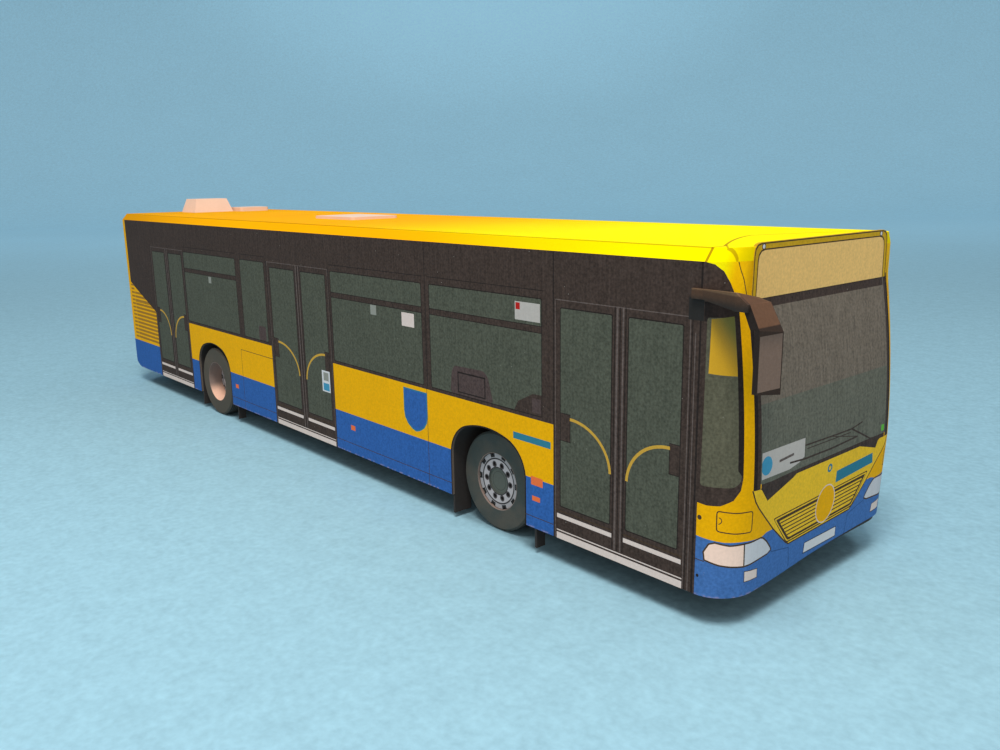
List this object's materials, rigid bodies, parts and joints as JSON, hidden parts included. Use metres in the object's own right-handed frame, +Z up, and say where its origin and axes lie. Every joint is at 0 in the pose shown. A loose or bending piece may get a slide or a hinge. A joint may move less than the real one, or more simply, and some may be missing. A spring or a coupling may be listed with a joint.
{
  "type": "card scale model of a city bus",
  "caption": "Printed card scale model of a low-floor city bus: hollow boxy body, rolled front corners, leaning windscreen, and card wheels that turn on wooden axles.",
  "frame": {"origin": "on the ground, at the middle of the overall length and width", "axes": "+X is the direction of travel, +Y the left side, +Z up"},
  "size_m": [0.1238, 0.0291, 0.0306],
  "materials": {
    "printed_side": "matt laser print on card, yellow over blue with dark printed windows",
    "printed_rear": "matt laser print on card, yellow over blue with a dark printed window",
    "printed_front": "matt laser print on card, yellow over blue",
    "printed_screen": "matt laser print on card, dark grey-green window",
    "printed_corner": "matt laser print on card, dark window in a yellow frame",
    "yellow_card": "matt yellow print on card",
    "sign_card": "matt cream print on card, blank",
    "dark_card": "matt black print on card",
    "pale_card": "matt pale print on card",
    "mirror_card": "matt brown print on card",
    "tyre_card": "matt dark print on laminated card",
    "rim_card": "matt grey print on laminated card",
    "axle_wood": "plain round stick"
  },
  "bodies": {
    "body": {"side_panel_right": "printed_side", "side_panel_left": "printed_side", "rear_panel": "printed_rear", "front_lower_panel": "printed_front", "windscreen_panel": "printed_screen", "corner_post_right": "printed_corner", "corner_post_left": "printed_corner", "front_roof_cap": "yellow_card", "roof_panel": "yellow_card", "sign_board": "sign_card", "floor_panel": "dark_card", "roof_box": "pale_card", "roof_hatch_rear": "pale_card", "roof_hatch_front": "pale_card", "mirror_arm_right": "mirror_card", "mirror_head_right": "mirror_card", "mirror_arm_left": "mirror_card", "mirror_head_left": "mirror_card", "arch_liner_front_right": "dark_card", "axle_cheek_front_right": "dark_card", "arch_liner_front_left": "dark_card", "axle_cheek_front_left": "dark_card", "arch_liner_rear_right": "dark_card", "axle_cheek_rear_right": "dark_card", "arch_liner_rear_left": "dark_card", "axle_cheek_rear_left": "dark_card"},
    "front_axle": {"tyre_front_right": "tyre_card", "rim_front_right": "rim_card", "tyre_front_left": "tyre_card", "rim_front_left": "rim_card", "axle_front": "axle_wood"},
    "rear_axle": {"tyre_rear_right": "tyre_card", "rim_rear_right": "rim_card", "tyre_rear_left": "tyre_card", "rim_rear_left": "rim_card", "axle_rear": "axle_wood"}
  },
  "joints": [
    {"name": "front_axle_roll", "type": "hinge", "parent": "body", "child": "front_axle", "pos_m": [0.0324, 0, 0.0049], "axis": [0, 1, 0], "continuous": true},
    {"name": "rear_axle_roll", "type": "hinge", "parent": "body", "child": "rear_axle", "pos_m": [-0.0285, 0, 0.0049], "axis": [0, 1, 0], "continuous": true}
  ]
}
